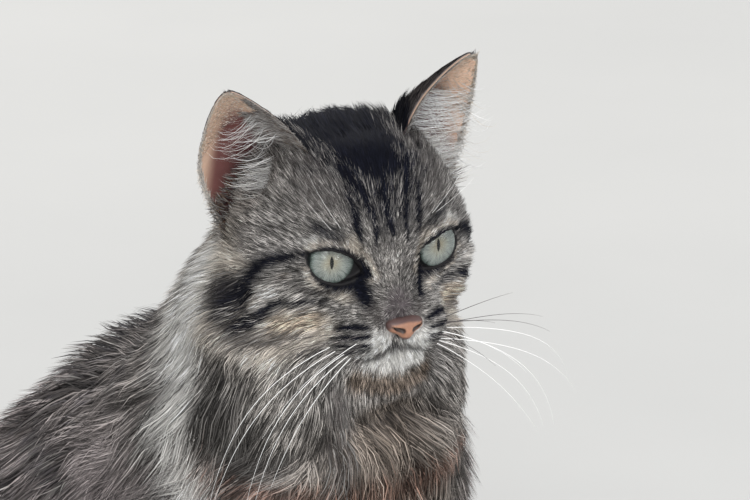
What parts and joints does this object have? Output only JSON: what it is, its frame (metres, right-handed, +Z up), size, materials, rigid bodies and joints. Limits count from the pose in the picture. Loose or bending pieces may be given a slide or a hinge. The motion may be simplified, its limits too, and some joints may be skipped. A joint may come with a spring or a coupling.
{
  "type": "sitting tabby cat",
  "caption": "Life-size still model of a long-haired brown tabby cat, sitting upright with its head turned and its tail laid round its side.",
  "frame": {"origin": "on the floor, under the middle of the cat's bounding box", "axes": "+Z up, -Y the way the body faces, +X toward the cat's left side"},
  "size_m": [0.2652, 0.3378, 0.3691],
  "materials": {
    "head_coat": "short banded fur, brown-grey with black stripes and pale rims round the eyes",
    "ruff_coat": "long soft fur, grey-brown with pale tips",
    "body_coat": "long soft fur, dark brown-grey with black mackerel stripes",
    "leg_coat": "short to medium fur, brown-grey with dark bars",
    "tail_coat": "long bushy fur, dark rings and a black tip",
    "nose_leather": "fine pebbled bare skin, terracotta with a dark rim, slightly moist",
    "eyes": "wet clear surface over a pale grey-green iris with a slit pupil",
    "cornea": "clear wet front of the eye",
    "whiskers": "stiff white hairs with a soft sheen"
  },
  "bodies": {
    "root": {"head": "head_coat", "nose": "nose_leather", "eye_left": "eyes", "eye_right": "eyes", "ear_left": "head_coat", "ear_right": "head_coat", "neck": "ruff_coat", "trunk": "body_coat", "foreleg_left": "leg_coat", "foreleg_right": "leg_coat", "forepaw_left": "leg_coat", "forepaw_right": "leg_coat", "thigh_left": "body_coat", "thigh_right": "body_coat", "hind_foot_left": "leg_coat", "hind_foot_right": "leg_coat", "tail_base": "tail_coat", "tail_middle": "tail_coat", "tail_tip": "tail_coat"}
  },
  "joints": []
}
